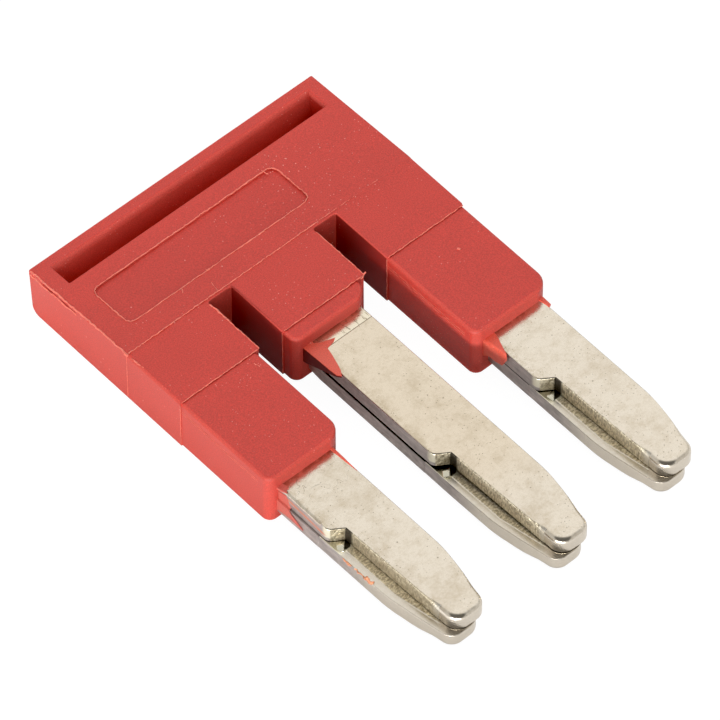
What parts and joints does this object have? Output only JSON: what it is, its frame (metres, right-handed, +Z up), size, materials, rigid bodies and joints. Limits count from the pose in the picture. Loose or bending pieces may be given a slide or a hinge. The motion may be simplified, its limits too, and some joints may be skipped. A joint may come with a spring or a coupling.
{
  "type": "terminal block jumper",
  "caption": "Plug-in jumper for terminal blocks: red moulded housing with a levering groove and a bare marking recess, over stacked stepped contact blades joined inside.",
  "frame": {"origin": "centre of the underside of the bounding box", "axes": "+Z up from the broad underside, blade tips towards -Y, +X across the blades"},
  "size_m": [0.014, 0.0222, 0.0027],
  "materials": {
    "housing_plastic": "red moulded plastic, satin, with mould lines",
    "plated_metal": "warm grey nickel plating over copper, satin faces and rough sheared edges"
  },
  "bodies": {
    "root": {"housing": "housing_plastic", "upper_comb": "plated_metal", "lower_comb": "plated_metal"}
  },
  "joints": []
}
